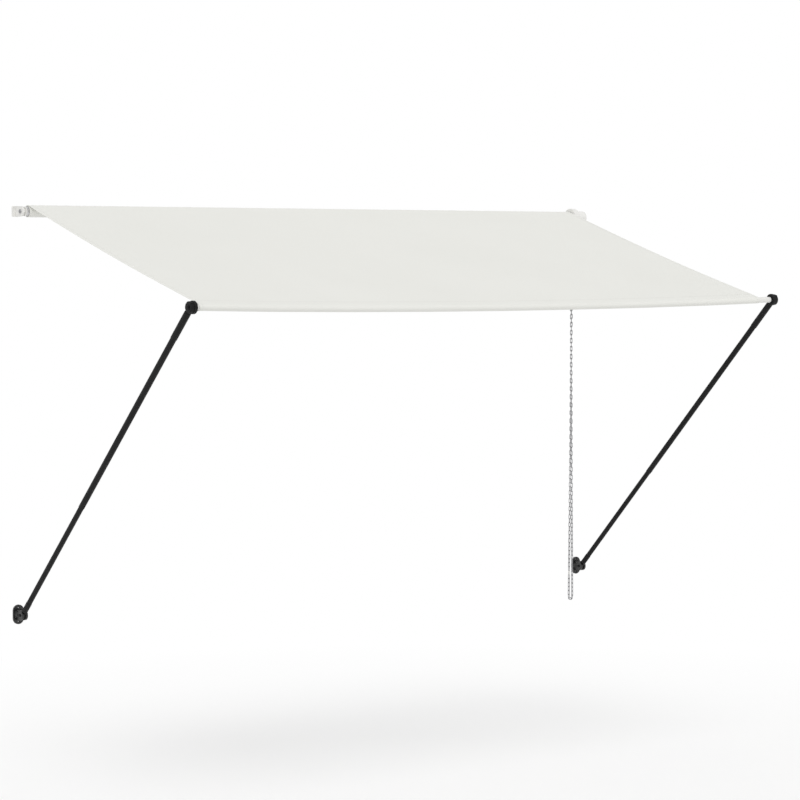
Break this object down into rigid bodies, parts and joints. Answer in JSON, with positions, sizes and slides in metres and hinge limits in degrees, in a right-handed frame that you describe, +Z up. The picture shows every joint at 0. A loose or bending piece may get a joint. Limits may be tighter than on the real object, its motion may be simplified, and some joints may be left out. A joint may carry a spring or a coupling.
{
  "type": "canvas awning",
  "caption": "Wall-mounted drop-arm canvas awning: a chain-driven roller lets out a cream cloth to a front bar that two hinged black arms carry.",
  "frame": {"origin": "centre of the left roller bracket's wall face, at roller height", "axes": "+X along the wall to the right seen from outside, +Y into the wall so -Y points out, +Z up"},
  "size_m": [3.5, 1.5219, 2.1052],
  "materials": {
    "white_paint": "satin white powder coat",
    "white_plastic": "satin white moulded",
    "black_paint": "matte black powder coat",
    "black_plastic": "matte black moulded",
    "zinc": "zinc plated",
    "aluminium": "mill finish",
    "canvas": "plain woven cream canvas"
  },
  "bodies": {
    "wall_parts": {"roller_bracket_left": "white_paint", "roller_bracket_right": "white_paint", "idle_pin": "zinc", "idle_spacer": "white_plastic", "drive_drum": "white_plastic", "chain_guard": "white_plastic", "drive_cover": "white_plastic", "chain_loop": "zinc", "chain_connector": "white_plastic", "wall_foot_left": "black_paint", "wall_foot_right": "black_paint", "foot_bolt_left": "black_paint", "foot_bolt_right": "black_paint", "foot_nut_left": "black_paint", "foot_nut_right": "black_paint", "canopy_cloth": "canvas"},
    "roller": {"roller_tube": "aluminium", "cloth_roll": "canvas", "idle_plug": "white_plastic", "drive_plug": "zinc", "chain_wheel": "white_plastic"},
    "arms": {"front_bar": "white_paint", "arm_foot_left": "black_plastic", "arm_lower_tube_left": "black_paint", "arm_upper_tube_left": "black_paint", "arm_joint_screw_left": "black_paint", "arm_head_left": "black_plastic", "arm_head_screw_left": "black_paint", "bar_plug_left": "black_plastic", "bar_washer_left": "black_plastic", "bar_screw_left": "black_paint", "arm_foot_right": "black_plastic", "arm_lower_tube_right": "black_paint", "arm_upper_tube_right": "black_paint", "arm_joint_screw_right": "black_paint", "arm_head_right": "black_plastic", "arm_head_screw_right": "black_paint", "bar_plug_right": "black_plastic", "bar_washer_right": "black_plastic", "bar_screw_right": "black_paint"}
  },
  "joints": [
    {"name": "arm_swing", "type": "hinge", "parent": "wall_parts", "child": "arms", "pos_m": [0, -0.045, -1.882], "axis": [-1, 0, 0], "range_deg": [0, 40], "deforming": ["canopy_cloth"]},
    {"name": "roller_spin", "type": "hinge", "parent": "wall_parts", "child": "roller", "pos_m": [0, -0.055, 0], "axis": [-1, 0, 0], "range_deg": [0, 2320]}
  ],
  "couplings": [
    {"joint": "roller_spin", "follows": "arm_swing", "ratio": 58}
  ]
}
